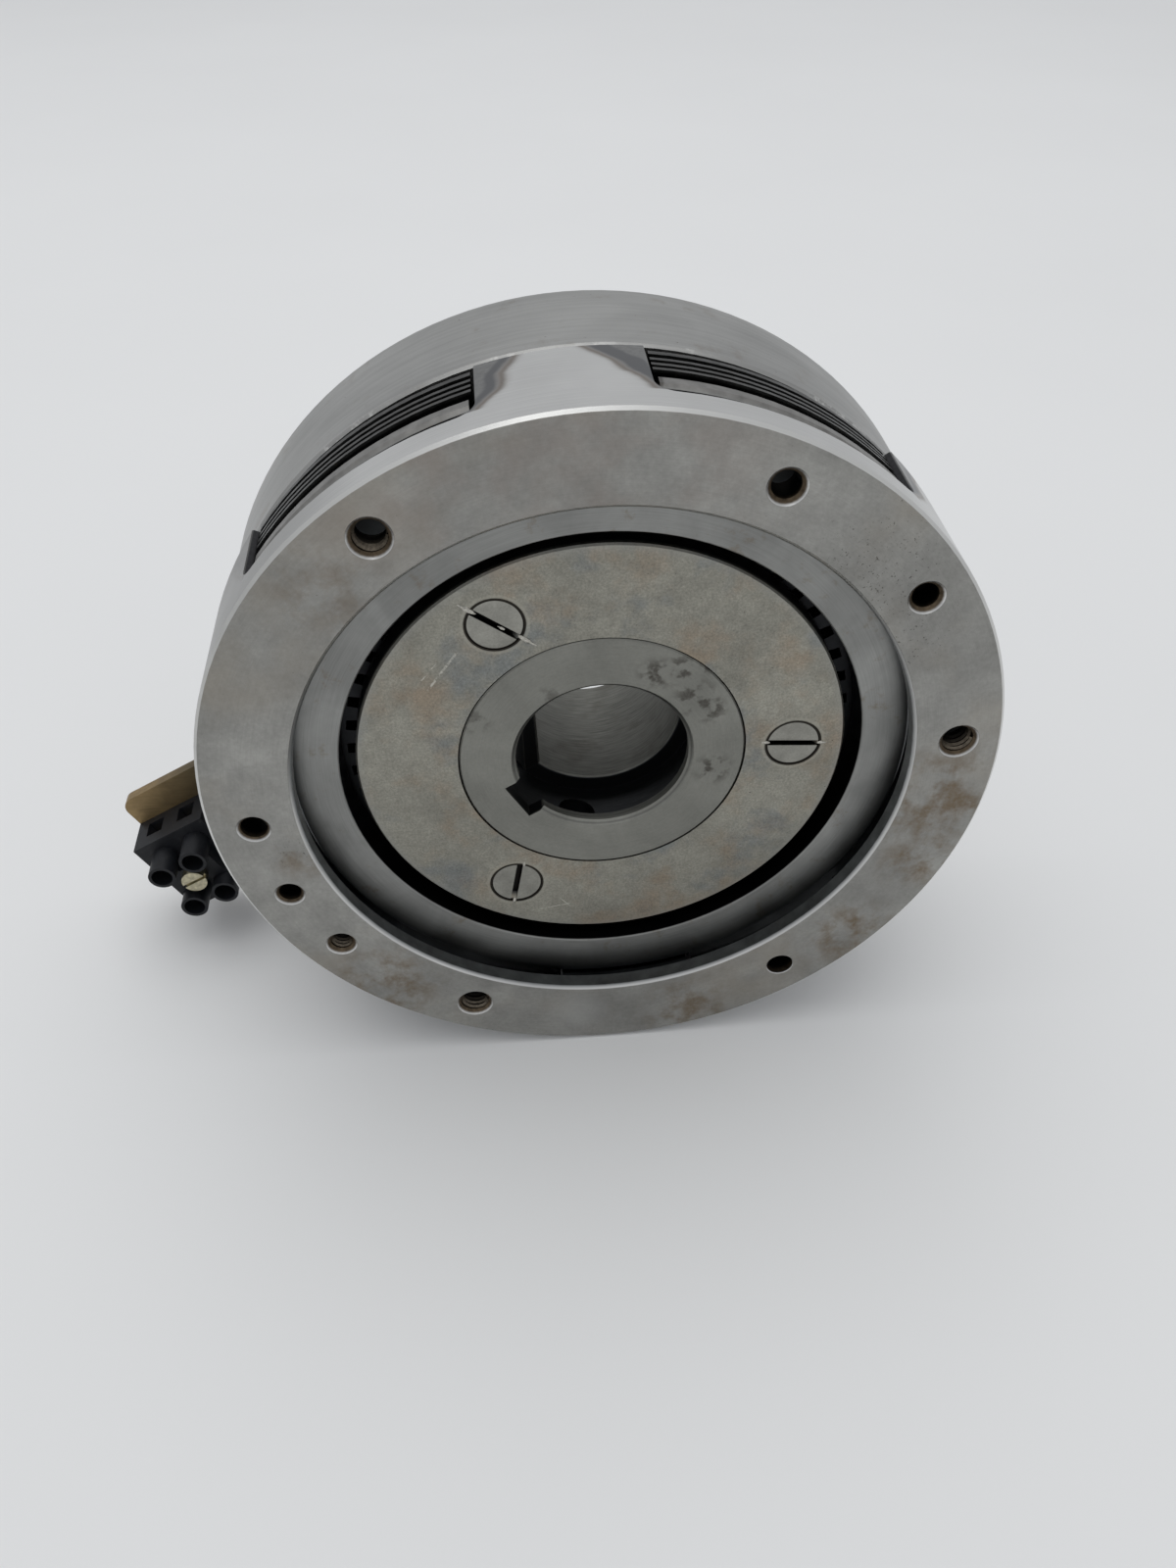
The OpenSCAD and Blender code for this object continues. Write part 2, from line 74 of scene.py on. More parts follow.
# ---------------------------------------------------------------- a bench for mixing finishes
class Finish:
    """One finish: a principled shader and the few nodes that a turned part's pattern needs."""

    def __init__(self, name, metallic=1.0, specular=0.5, coat=0.0):
        self.mat = bpy.data.materials.new(name)
        self.mat.use_nodes = True
        self.tree = self.mat.node_tree
        self.tree.nodes.clear()
        out = self.node("ShaderNodeOutputMaterial")
        self.shader = self.node("ShaderNodeBsdfPrincipled")
        self.shader.inputs["Metallic"].default_value = metallic
        self.shader.inputs["Specular IOR Level"].default_value = specular
        self.shader.inputs["Coat Weight"].default_value = coat
        self.link(self.shader.outputs[0], out.inputs[0])
        self.place = self.node("ShaderNodeTexCoord").outputs["Object"]
        split = self.node("ShaderNodeSeparateXYZ")
        self.link(self.place, split.inputs[0])
        self.x, self.y, self.z = split.outputs
        across = self.math("ADD", self.math("MULTIPLY", self.x, self.x),
                           self.math("MULTIPLY", self.z, self.z))
        self.r = self.math("SQRT", across)
        self.angle = self.math("ARCTAN2", self.z, self.x)

    def node(self, kind):
        return self.tree.nodes.new(kind)

    def link(self, a, b):
        self.tree.links.new(a, b)

    def feed(self, value, socket):
        if isinstance(value, bpy.types.NodeSocket):
            self.link(value, socket)
        else:
            socket.default_value = value

    def math(self, op, a, b=0.0, c=0.0, clamp=False):
        n = self.node("ShaderNodeMath")
        n.operation = op
        n.use_clamp = clamp
        for value, socket in zip((a, b, c), n.inputs):
            self.feed(value, socket)
        return n.outputs[0]

    def rise(self, value, low, high):
        """0 below low and 1 above high, smooth between. Low above high turns it round."""
        n = self.node("ShaderNodeMapRange")
        n.interpolation_type = "SMOOTHSTEP"
        flip = low > high
        n.inputs["From Min"].default_value = min(low, high)
        n.inputs["From Max"].default_value = max(low, high)
        n.inputs["To Min"].default_value = 1.0 if flip else 0.0
        n.inputs["To Max"].default_value = 0.0 if flip else 1.0
        self.feed(value, n.inputs["Value"])
        return n.outputs["Result"]

    def both(self, *facs):
        total = facs[0]
        for f in facs[1:]:
            total = self.math("MULTIPLY", total, f)
        return total

    def either(self, *facs):
        total = facs[0]
        for f in facs[1:]:
            total = self.math("MAXIMUM", total, f)
        return total

    def band(self, value, low, high, soft):
        return self.both(self.rise(value, low - soft, low + soft),
                         self.rise(value, high + soft, high - soft))

    def gap_to(self, x, z):
        """Distance from a point on the face, in metres."""
        dx = self.math("SUBTRACT", self.x, x)
        dz = self.math("SUBTRACT", self.z, z)
        return self.math("SQRT", self.math("ADD", self.math("MULTIPLY", dx, dx),
                                           self.math("MULTIPLY", dz, dz)))

    def spot(self, x_mm, z_mm, size_mm, soft=0.6):
        d = self.gap_to(x_mm * MM, z_mm * MM)
        return self.rise(d, size_mm * MM * (1 + soft), size_mm * MM * (1 - soft))

    def spots(self, places):
        """Soft patches, each given as x, z and size in mm, and a strength."""
        return self.either(*[self.both(self.spot(x, z, size), strength)
                             for x, z, size, strength in places])

    def stroke(self, a, b, width_mm):
        """A thin straight mark between two points on the face, given in mm."""
        (ax, az), (bx, bz) = a, b
        length = math.hypot(bx - ax, bz - az)
        ux, uz = (bx - ax) / length, (bz - az) / length
        dx = self.math("SUBTRACT", self.x, ax * MM)
        dz = self.math("SUBTRACT", self.z, az * MM)
        along = self.math("ADD", self.math("MULTIPLY", dx, ux), self.math("MULTIPLY", dz, uz))
        side = self.math("ABSOLUTE", self.math("SUBTRACT", self.math("MULTIPLY", dx, uz),
                                               self.math("MULTIPLY", dz, ux)))
        return self.both(self.band(along, 0.0, length * MM, 0.8 * MM),
                         self.rise(side, width_mm * MM, width_mm * MM * 0.3))

    def noise(self, size_mm, detail=4.0, rough=0.55, vector=None, warp=0.0, lift=0.0):
        """Cloudy grain whose patches are about size_mm across."""
        n = self.node("ShaderNodeTexNoise")
        if lift:
            shift = self.node("ShaderNodeVectorMath")
            shift.operation = "ADD"
            self.link(vector or self.place, shift.inputs[0])
            shift.inputs[1].default_value = (lift, lift * 0.7, lift * 1.3)
            vector = shift.outputs[0]
        self.link(vector or self.place, n.inputs["Vector"])
        n.inputs["Scale"].default_value = 1000.0 / size_mm
        n.inputs["Detail"].default_value = detail
        n.inputs["Roughness"].default_value = rough
        n.inputs["Distortion"].default_value = warp
        return n.outputs["Fac"]

    def lathe(self, line_mm=0.35, turn=6.0, detail=3.0):
        """Tool lines round the axis: they follow radius on a face and depth on a rim."""
        pitch = self.math("MULTIPLY", self.math("MULTIPLY_ADD", self.y, 1.37, self.r),
                          1.0 / (line_mm * MM))
        safe = self.math("MAXIMUM", self.r, 0.0005)
        vec = self.node("ShaderNodeCombineXYZ")
        self.link(pitch, vec.inputs[0])
        self.link(self.math("MULTIPLY", self.math("DIVIDE", self.x, safe), turn), vec.inputs[1])
        self.link(self.math("MULTIPLY", self.math("DIVIDE", self.z, safe), turn), vec.inputs[2])
        n = self.node("ShaderNodeTexNoise")
        self.link(vec.outputs[0], n.inputs["Vector"])
        n.inputs["Scale"].default_value = 1.0
        n.inputs["Detail"].default_value = detail
        n.inputs["Roughness"].default_value = 0.6
        return n.outputs["Fac"]

    def mix(self, fac, a, b, mode="MIX"):
        n = self.node("ShaderNodeMix")
        n.data_type = "RGBA"
        n.blend_type = mode
        self.feed(fac, n.inputs[0])
        self.feed(rgba(a), n.inputs[6])
        self.feed(rgba(b), n.inputs[7])
        return n.outputs[2]

    def shade(self, colour, fac, low, high):
        """Lightens and darkens a colour by a pattern, from low at 0 to high at 1."""
        n = self.node("ShaderNodeMapRange")
        n.inputs["To Min"].default_value = low
        n.inputs["To Max"].default_value = high
        n.inputs["From Min"].default_value = 0.25
        n.inputs["From Max"].default_value = 0.75
        self.feed(fac, n.inputs["Value"])
        grey = self.node("ShaderNodeCombineColor")
        for s in grey.inputs:
            self.link(n.outputs["Result"], s)
        return self.mix(1.0, colour, grey.outputs[0], "MULTIPLY")

    def scale(self, fac, low, high):
        n = self.node("ShaderNodeMapRange")
        n.inputs["To Min"].default_value = low
        n.inputs["To Max"].default_value = high
        self.feed(fac, n.inputs["Value"])
        return n.outputs["Result"]

    def curve(self, value, span, points):
        """A smooth curve through (value, height) points; heights run from 0 to 1."""
        n = self.node("ShaderNodeValToRGB")
        n.color_ramp.interpolation = "CARDINAL"
        stops = n.color_ramp.elements
        while len(stops) < len(points):
            stops.new(0.5)
        for stop, (at, height) in zip(stops, points):
            stop.position = at / span
            stop.color = (height, height, height, 1)
        self.feed(self.math("DIVIDE", value, span), n.inputs[0])
        return n.outputs[0]

    def bump(self, height, depth_mm, strength=1.0, under=None):
        n = self.node("ShaderNodeBump")
        n.inputs["Strength"].default_value = strength
        n.inputs["Distance"].default_value = depth_mm * MM
        self.feed(height, n.inputs["Height"])
        if under is not None:
            self.link(under, n.inputs["Normal"])
        return n.outputs[0]

    def done(self, colour, rough, normal=None):
        self.feed(rgba(colour), self.shader.inputs["Base Color"])
        self.feed(rough, self.shader.inputs["Roughness"])
        if normal is not None:
            self.link(normal, self.shader.inputs["Normal"])
        return self.mat


def rgba(c):
    if isinstance(c, tuple):
        return (*c, 1.0) if len(c) == 3 else c
    return c


def dress(mat, *names):
    """Puts a finish on CAD nodes."""
    for name in names:
        mesh = NODES[name].data
        mesh.materials.clear()
        mesh.materials.append(mat)


# ---------------------------------------------------------------- steel finishes
# painted shade: FACE_GREY is set about half of RIM_GREY, darkening the flange's front face to stand in
# for the dim surroundings it reflects
FACE_GREY = (0.305, 0.302, 0.285)
RIM_GREY = (0.60, 0.60, 0.59)
# painted shade for the flange's inner wall and the armature face under its lip
SHADE_SLATE = (0.135, 0.142, 0.145)
# near black painted shade, in front of the armature's tongues and in its bore
SHADE_BLACK = (0.012, 0.012, 0.013)
# near black, for painted shade deep in the flange's holes and for the screw slots
RECESS_BLACK = (0.012, 0.011, 0.010)
SLOT_DIRT = (0.020, 0.017, 0.014)
RUST = (0.155, 0.105, 0.055)
STRAW = (0.125, 0.095, 0.070)
BLUE_GREY = (0.085, 0.089, 0.096)
BRIGHT_EDGE = (0.66, 0.66, 0.64)
# painted shade for the left part of the rim
SHADED_RIM = (0.12, 0.118, 0.112)

# over this depth the look of a face gives way to that of a wall
FACE_SKIN = (0.04 * MM, 0.10 * MM)
# depth of the flange, where the windows between the fingers begin
FLANGE_BACK = 7.2 * MM
FINGER_AT, FINGER_STEP = 35, 60

# the three tapped holes, and the mouth radius of every hole in the flange, in mm
THREAD_CIRCLE = 75.6
THREAD_ANGLES = (5, 125, 245)
MOUTHS = {"thread_0": 4.45, "thread_1": 4.45, "thread_2": 4.45,
          "hole_65": 4.0, "hole_185": 3.7, "hole_305": 3.4,
          "hole_35": 3.85, "hole_216": 3.65, "hole_201": 3.45}
HOLE_XZ = {m["name"]: (m["pos_m"][0], m["pos_m"][2]) for m in frame["record"]["mounts"]}
HOLE_XZ.update({"thread_%d" % k: polar(THREAD_CIRCLE, at) for k, at in enumerate(THREAD_ANGLES)})

# x, z and size in mm, and strength
STAINS = [(74, -10, 13, 1.0), (73, -28, 8, 1.0), (60, -52, 9, 1.0), (21, -77, 10, 0.9),
          (-53, -59, 11, 1.0), (-66, -15, 6, 0.7), (-53, 52, 9, 0.5)]
PITTED = [(52, 50, 13, 1.0), (61, 35, 9, 1.0), (-66, -14, 6, 1.0)]

# half width of a finger's polished middle as a share of TINT_REACH degrees, against depth in metres
TINT_DEPTH, TINT_REACH = 0.030, 12.0
LEFT_TINT = [(0.0, 1.0), (0.009, 0.85), (0.014, 0.63), (0.022, 0.565), (0.029, 0.36)]
RIGHT_TINT = [(0.0, 1.0), (0.010, 0.86), (0.015, 0.66), (0.021, 0.49), (0.028, 0.20)]


def flange_face(f, grain, cloud, lines):
    """Satin turned face: clouds, warm patches, damp stains and fine black specks."""
    face = f.shade(FACE_GREY, cloud, 0.76, 1.26)
    face = f.shade(face, f.noise(6, 5, 0.65, lift=0.44), 0.88, 1.12)
    face = f.shade(face, lines, 0.95, 1.05)
    face = f.shade(face, grain, 0.88, 1.12)
    warm = f.both(f.rise(f.noise(34, 3, lift=0.31), 0.50, 0.72), 0.45)
    face = f.mix(warm, face, (0.30, 0.265, 0.215))
    reddish = f.both(f.spot(-12, 78, 40, 0.5), f.rise(f.noise(14, 3, lift=0.7), 0.38, 0.66))
    face = f.mix(f.both(reddish, 0.30), face, (0.29, 0.235, 0.205))
    # brown where the flange has been handled and has stood damp
    blotch = f.rise(f.noise(7, 4, 0.6, lift=0.62), 0.40, 0.64)
    patchy = f.both(blotch, f.scale(f.noise(0.8, 4, 0.7, lift=0.21), 0.35, 1.3))
    face = f.mix(f.both(f.spots(STAINS), patchy, 0.85), face, RUST)
    face = f.mix(f.both(f.spot(-6.6, -74, 6, 0.7), 0.45), face, (0.43, 0.43, 0.42))
    # specks, thick at the upper right and by the left hole
    thick = f.scale(f.spots(PITTED), 0.0, 0.095)
    specks = f.rise(f.math("ADD", f.noise(0.55, 4, 0.6, lift=0.13), thick), 0.715, 0.76)
    return f.mix(f.both(specks, 0.70), face, (0.05, 0.043, 0.036))


def tempered_rim(f, grain):
    """Polished rim. Hardened finger flanks show a straw line, a blue band and a pale edge."""
    rim = f.shade(RIM_GREY, f.lathe(0.22, 3, 2), 0.90, 1.10)
    rim = f.shade(rim, f.noise(30, 3, lift=0.5), 0.90, 1.10)
    # degrees from the middle of the nearest finger
    half = FINGER_STEP / 2
    turned = f.math("WRAP", f.angle, math.radians(FINGER_AT + half), math.radians(FINGER_AT - half))
    off_middle = f.math("MULTIPLY", f.math("SUBTRACT", turned, math.radians(FINGER_AT)), 180 / math.pi)
    left = f.math("MULTIPLY", f.curve(f.y, TINT_DEPTH, LEFT_TINT), TINT_REACH)
    right = f.math("MULTIPLY", f.curve(f.y, TINT_DEPTH, RIGHT_TINT), TINT_REACH)
    on_left = f.rise(off_middle, -0.05, 0.05)
    reach = f.math("ADD", f.math("MULTIPLY", left, on_left),
                   f.math("MULTIPLY", right, f.math("SUBTRACT", 1.0, on_left)))
    ragged = f.scale(f.noise(7, 3, lift=0.9), -0.7, 0.7)
    past = f.math("ADD", f.math("SUBTRACT", f.math("ABSOLUTE", off_middle), reach), ragged)
    on_rim = f.both(f.rise(f.r, 83.5 * MM, 84.3 * MM),
                    f.rise(f.y, FLANGE_BACK + 0.3 * MM, FLANGE_BACK + 0.9 * MM))
    rim = f.mix(f.both(on_rim, f.rise(past, -1.5, 0.4), 0.45), rim, STRAW)
    rim = f.mix(f.both(on_rim, f.band(past, -0.25, 0.45, 0.55), 0.80), rim, STRAW)
    rim = f.mix(f.both(on_rim, f.rise(past, 0.1, 1.3), 0.90), rim, BLUE_GREY)
    pale = f.scale(on_left, 3.6, 2.2)
    edge = f.rise(f.math("SUBTRACT", past, pale), -0.35, 0.45)
    rim = f.mix(f.both(on_rim, edge, 0.8), rim, f.shade((0.22, 0.22, 0.215), grain, 0.75, 1.25))
    # painted shade: the left part of the rim is darkened, standing in for the darker surroundings it
    # reflects
    left_rim_shade = f.both(f.rise(f.x, -40 * MM, -74 * MM), f.rise(f.z, -10 * MM, 20 * MM))
    return f.mix(f.both(left_rim_shade, 0.85), rim, SHADED_RIM)


def hole_walls(f):
    """1 on the walls of the flange's holes and 0 elsewhere."""
    below_mouth = f.rise(f.y, 0.15 * MM, 0.6 * MM)
    return f.either(*[f.both(f.rise(f.gap_to(*HOLE_XZ[name]), (mouth + 1.2) * MM, (mouth + 0.8) * MM),
                             below_mouth)
                      for name, mouth in MOUTHS.items()])


def driver_steel():
    """Turned driver: satin face with handling stains, polished rim, tempered flanks."""
    f = Finish("driver_turned_steel")
    grain = f.noise(1.1, 5, 0.7)
    cloud = f.noise(26, 4, 0.6, warp=0.6)
    lines = f.lathe(0.30, 8)
    off_face = f.rise(f.y, *FACE_SKIN)
    colour = f.mix(off_face, flange_face(f, grain, cloud, lines), tempered_rim(f, grain))
    # painted shade: a finger's flanks and inside, down in the windows, are painted near black
    flanks = f.both(f.rise(f.r, 84.85 * MM, 84.60 * MM),
                    f.rise(f.y, FLANGE_BACK - 0.2 * MM, FLANGE_BACK + 0.1 * MM))
    colour = f.mix(flanks, colour, f.shade((0.030, 0.030, 0.032), grain, 0.6, 1.4))
    # painted shade: the flange's inner wall is painted darker
    inside = f.both(f.rise(f.r, 77.2 * MM, 76.2 * MM), f.rise(f.y, 0.2 * MM, 0.9 * MM))
    colour = f.mix(inside, colour, f.shade(SHADE_SLATE, f.noise(4, 4), 0.7, 1.3))
    # hole walls are brown at the mouth, and painted shade darkens them further in
    holes = hole_walls(f)
    brown = f.shade((0.115, 0.088, 0.060), f.noise(1.2, 4), 0.5, 1.4)
    colour = f.mix(holes, colour, f.mix(f.rise(f.y, 0.8 * MM, 2.6 * MM), brown, RECESS_BLACK))
    # bright chamfer round the outside
    corner = f.both(f.rise(f.r, 84.1 * MM, 84.3 * MM), off_face, f.rise(f.y, 0.78 * MM, 0.70 * MM))
    colour = f.mix(f.both(corner, f.scale(f.noise(9, 4, lift=0.2), 0.45, 1.0)), colour, BRIGHT_EDGE)
    rough = f.scale(f.rise(f.y, *reversed(FACE_SKIN)), 0.30, 0.44)
    rough = f.math("ADD", rough, f.math("MULTIPLY", f.math("SUBTRACT", cloud, 0.5), 0.16))
    rough = f.math("ADD", rough, f.math("MULTIPLY", holes, 0.25))
    normal = f.bump(f.math("ADD", f.math("MULTIPLY", lines, 0.6), grain), 0.012, 0.55)
    return f.done(colour, rough, normal)


def armature_steel():
    """Ground ring: stained face, painted shade under the flange's lip, black painted shade in front of
    its tongues and in its bore.
    """
    f = Finish("armature_ground_steel")
    lines = f.lathe(0.28, 5)
    colour = f.shade((0.27, 0.272, 0.262), lines, 0.90, 1.10)
    colour = f.shade(colour, f.noise(16, 4, warp=0.5), 0.78, 1.22)
    colour = f.mix(f.both(f.rise(f.noise(5, 5, 0.7, lift=0.4), 0.56, 0.72), 0.4), colour, RUST)
    # painted shade: the outer part of the ring face, under the flange's lip, is painted slate
    tail = f.rise(f.r, 64.5 * MM, 67.2 * MM)
    colour = f.mix(f.both(tail, f.rise(f.r, 80 * MM, 78 * MM)), colour, SHADE_SLATE)
    lip = f.rise(f.r, 82.6 * MM, 83.5 * MM)
    colour = f.mix(lip, colour, f.shade((0.235, 0.23, 0.22), f.noise(3, 4), 0.7, 1.3))
    # painted shade: the front face of each tongue is painted near black
    front = f.both(f.rise(f.r, 74 * MM, 75.5 * MM), f.rise(f.y, 12.9 * MM, 12.75 * MM))
    colour = f.mix(front, colour, SHADE_BLACK)
    x, z = polar(83.7, 83.2)
    dot = f.rise(f.gap_to(x, z), 1.1 * MM, 0.6 * MM)
    colour = f.mix(f.both(dot, 0.7), colour, (0.06, 0.055, 0.05))
    # painted shade: the bore is painted near black
    bore = f.both(f.rise(f.r, 57.1 * MM, 56.8 * MM), f.rise(f.y, 7.7 * MM, 8 * MM))
    colour = f.mix(bore, colour, SHADE_BLACK)
    grain = f.noise(0.8, 4, 0.6)
    rough = f.scale(f.noise(12, 3, lift=0.2), 0.30, 0.50)
    return f.done(colour, rough, f.bump(f.math("ADD", lines, grain), 0.010, 0.5))


# radii in mm over which a disc's black flank gives way to its worn outside edge
OUTER_DISC_EDGE = (82.9, 83.4)
INNER_DISC_EDGE = (72.2, 72.8)


def disc_steel(name, bright, seed, edge_mm):
    """Oily friction disc: black flanks, a thin worn outside edge, dirt on it."""
    f = Finish(name)
    edge = f.rise(f.r, edge_mm[0] * MM, edge_mm[1] * MM)
    worn = f.shade(bright, f.noise(2.2, 5, 0.7, lift=seed * 0.17), 0.45, 1.45)
    flank = f.shade((0.018, 0.018, 0.019), f.lathe(0.4, 5), 0.6, 1.4)
    colour = f.mix(edge, flank, worn)
    dirt = f.rise(f.noise(1.4, 5, 0.75, lift=seed * 0.23), 0.60, 0.68)
    colour = f.mix(f.both(dirt, 0.7), colour, (0.105, 0.085, 0.058))
    # painted shade: the inner teeth, down in the gap by the hub, are painted near black
    inner = f.rise(f.r, 57.5 * MM, 56 * MM)
    colour = f.mix(inner, colour, (0.028, 0.029, 0.031))
    rough = f.scale(f.noise(3, 3, lift=seed * 0.1), 0.26, 0.52)
    return f.done(colour, rough, f.bump(f.noise(0.5, 3), 0.010, 0.5))


# x, z and size in mm, and strength
HUB_SMUDGES = [(11, 21.8, 3.4, 1.0), (16, 22.5, 3.4, 1.0), (19.6, 15.1, 4.0, 1.0), (23, 12, 3.2, 1.0),
               (24.5, -5, 3.6, 1.0), (21, 23.6, 2.2, 1.0), (-27, 12, 3.0, 0.6), (-11.5, 17.5, 2.2, 0.6)]


def hub_steel():
    """Turned hub: smudged front land, scored bore, painted shade in the relief and on the spline teeth,
    black keyway.
    """
    f = Finish("hub_turned_steel")
    lines = f.lathe(0.24, 6)
    grain = f.noise(0.7, 5, 0.7)
    colour = f.shade((0.232, 0.232, 0.210), f.noise(15, 4, warp=0.5), 0.84, 1.18)
    colour = f.shade(colour, lines, 0.93, 1.07)
    colour = f.shade(colour, grain, 0.92, 1.08)
    ragged = f.both(f.rise(f.noise(3.0, 3, 0.5, lift=0.6), 0.46, 0.60),
                    f.scale(f.noise(0.6, 4, 0.7), 0.3, 1.4))
    on_face = f.rise(f.y, HUB_FRONT + 0.5 * MM, HUB_FRONT + 0.2 * MM)
    colour = f.mix(f.both(f.spots(HUB_SMUDGES), ragged, on_face, 0.80), colour, (0.045, 0.038, 0.032))
    relief = f.both(f.rise(f.r, 27.8 * MM, 27.2 * MM), f.band(f.y, 12.5 * MM, 25.3 * MM, 0.1 * MM))
    bore = f.both(f.rise(f.r, 19.9 * MM, 19.6 * MM), f.rise(f.y, 10.5 * MM, 11.2 * MM))
    bored = f.shade((0.185, 0.185, 0.168), f.lathe(0.42, 3, 4), 0.62, 1.38)
    bored = f.mix(f.both(f.rise(f.noise(9, 4, lift=0.8), 0.5, 0.7), 0.35), bored, (0.085, 0.076, 0.062))
    colour = f.mix(bore, colour, bored)
    # painted shade: the relief is painted dark because it lies deeper
    colour = f.mix(relief, colour, f.shade((0.060, 0.062, 0.066), lines, 0.6, 1.5))
    key = f.both(f.rise(f.r, 19.3 * MM, 19.7 * MM), f.rise(f.r, 23.2 * MM, 22.6 * MM),
                 f.rise(f.y, 9.3 * MM, 9.9 * MM), f.rise(f.y, 61.5 * MM, 60.5 * MM))
    colour = f.mix(key, colour, (0.030, 0.031, 0.032))
    # painted shade: the spline teeth, deep in the gap, are painted near black
    teeth = f.both(f.rise(f.r, 47 * MM, 48.5 * MM), f.band(f.y, 16.4 * MM, 29 * MM, 0.2 * MM))
    colour = f.mix(teeth, colour, f.shade((0.050, 0.052, 0.055), grain, 0.7, 1.3))
    rough = f.scale(f.noise(10, 3, lift=0.3), 0.33, 0.50)
    rough = f.math("ADD", rough, f.math("MULTIPLY", bore, 0.16))
    return f.done(colour, rough, f.bump(f.math("ADD", lines, grain), 0.010, 0.55))


# the end plate's screws, and its scratches as two ends and a width, in mm
SCREW_R = 42.0
SCREW_ANGLES = [1.4 + 120 * k for k in range(3)]
SCRATCHES = [((-36.5, 20.5), (-30.0, 29.5), 0.35), ((-37.6, 23), (-34, 27.5), 0.18),
             ((-16.5, -46.6), (-7.5, -45.0), 0.16), ((-9.8, -43.2), (-7.5, -46), 0.14)]


def end_plate_steel():
    """Mottled, heat-treated plate with a sandy grain and old handling marks."""
    f = Finish("end_plate_mottled_steel")
    grain = f.noise(0.55, 5, 0.75)
    colour = f.shade((0.300, 0.292, 0.252), f.noise(20, 4, warp=0.8), 0.80, 1.20)
    colour = f.mix(f.both(f.rise(f.noise(17, 4, 0.6, lift=0.45), 0.47, 0.68), 0.60),
                   colour, (0.315, 0.242, 0.172))
    colour = f.mix(f.both(f.rise(f.noise(15, 4, 0.6, lift=0.85), 0.49, 0.68), 0.60),
                   colour, (0.185, 0.205, 0.215))
    colour = f.shade(colour, grain, 0.66, 1.34)
    colour = f.shade(colour, f.noise(2.5, 4, 0.7, lift=0.15), 0.86, 1.14)
    # the worn pale margin
    colour = f.mix(f.both(f.rise(f.r, 50.5 * MM, 52.8 * MM), 0.35), colour, (0.33, 0.33, 0.31))
    scratch = f.either(*[f.stroke(*mark) for mark in SCRATCHES])
    broken = f.rise(f.noise(1.1, 3), 0.35, 0.6)
    colour = f.mix(f.both(scratch, broken, 0.8), colour, (0.62, 0.60, 0.54))
    pits = f.rise(f.noise(0.9, 3, 0.6, lift=0.55), 0.69, 0.74)
    colour = f.mix(f.both(pits, 0.7), colour, (0.06, 0.05, 0.04))
    # a dark seam and then a pale ring round each screw
    for a in SCREW_ANGLES:
        d = f.gap_to(*polar(SCREW_R, a))
        colour = f.mix(f.both(f.band(d, 5.80 * MM, 6.30 * MM, 0.08 * MM), 0.95), colour, SLOT_DIRT)
        colour = f.mix(f.both(f.band(d, 6.5 * MM, 7.0 * MM, 0.3 * MM), 0.40), colour, (0.44, 0.42, 0.36))
    # painted shade: everything behind the plate's front face is painted near black
    behind = f.rise(f.y, PLATE_FRONT + 0.8 * MM, PLATE_FRONT + 1.8 * MM)
    colour = f.mix(behind, colour, (0.05, 0.05, 0.05))
    rough = f.scale(f.noise(9, 4, lift=0.35), 0.36, 0.56)
    return f.done(colour, rough, f.bump(grain, 0.022, 0.6))


def screw_steel():
    """Slotted heads with a dark seam round them, made black below the head's face in the slot."""
    f = Finish("slotted_screw_steel")
    grain = f.noise(0.5, 4, 0.7)
    colour = f.shade((0.30, 0.295, 0.265), f.noise(3.5, 4), 0.82, 1.18)
    colour = f.shade(colour, grain, 0.86, 1.14)
    for a in SCREW_ANGLES:
        d = f.gap_to(*polar(SCREW_R, a))
        colour = f.mix(f.band(d, 5.62 * MM, 6.40 * MM, 0.08 * MM), colour, SLOT_DIRT)
    # everything below the head's face, in the slot, is made near black
    in_slot = f.rise(f.y, PLATE_FRONT + 0.25 * MM, PLATE_FRONT + 0.7 * MM)
    colour = f.mix(in_slot, colour, RECESS_BLACK)
    return f.done(colour, f.scale(f.noise(4, 3), 0.30, 0.48), f.bump(grain, 0.012, 0.5))


def magnet_steel():
    """Soft-iron magnet body: fine circumferential lines, nicks on its front corner."""
    f = Finish("magnet_turned_steel")
    lines = f.lathe(0.20, 2.2, 3)
    broad = f.lathe(1.6, 2.0, 2)
    colour = f.shade((0.355, 0.355, 0.345), lines, 0.93, 1.07)
    colour = f.shade(colour, broad, 0.90, 1.10)
    colour = f.shade(colour, f.noise(28, 4, warp=0.6), 0.84, 1.16)
    colour = f.mix(f.both(f.rise(f.noise(9, 5, 0.7, lift=0.7), 0.56, 0.74), 0.30), colour, RUST)
    nick = f.both(f.rise(f.y, MAGNET_FRONT + 1.2 * MM, MAGNET_FRONT + 0.4 * MM),
                  f.rise(f.r, MAGNET_R - 1.6 * MM, MAGNET_R - 0.8 * MM))
    knocks = f.both(f.rise(f.noise(2.6, 4, 0.7), 0.46, 0.60),
                    f.rise(f.noise(26, 2, lift=0.37), 0.52, 0.62))
    colour = f.mix(f.both(nick, knocks, 0.8), colour, (0.60, 0.60, 0.58))
    pits = f.rise(f.noise(1.1, 3, 0.6, lift=0.25), 0.70, 0.74)
    colour = f.mix(f.both(pits, 0.7), colour, (0.10, 0.09, 0.07))
    rough = f.scale(f.noise(20, 3, lift=0.2), 0.34, 0.46)
    return f.done(colour, rough, f.bump(f.math("ADD", lines, f.noise(0.8, 3)), 0.010, 0.5))


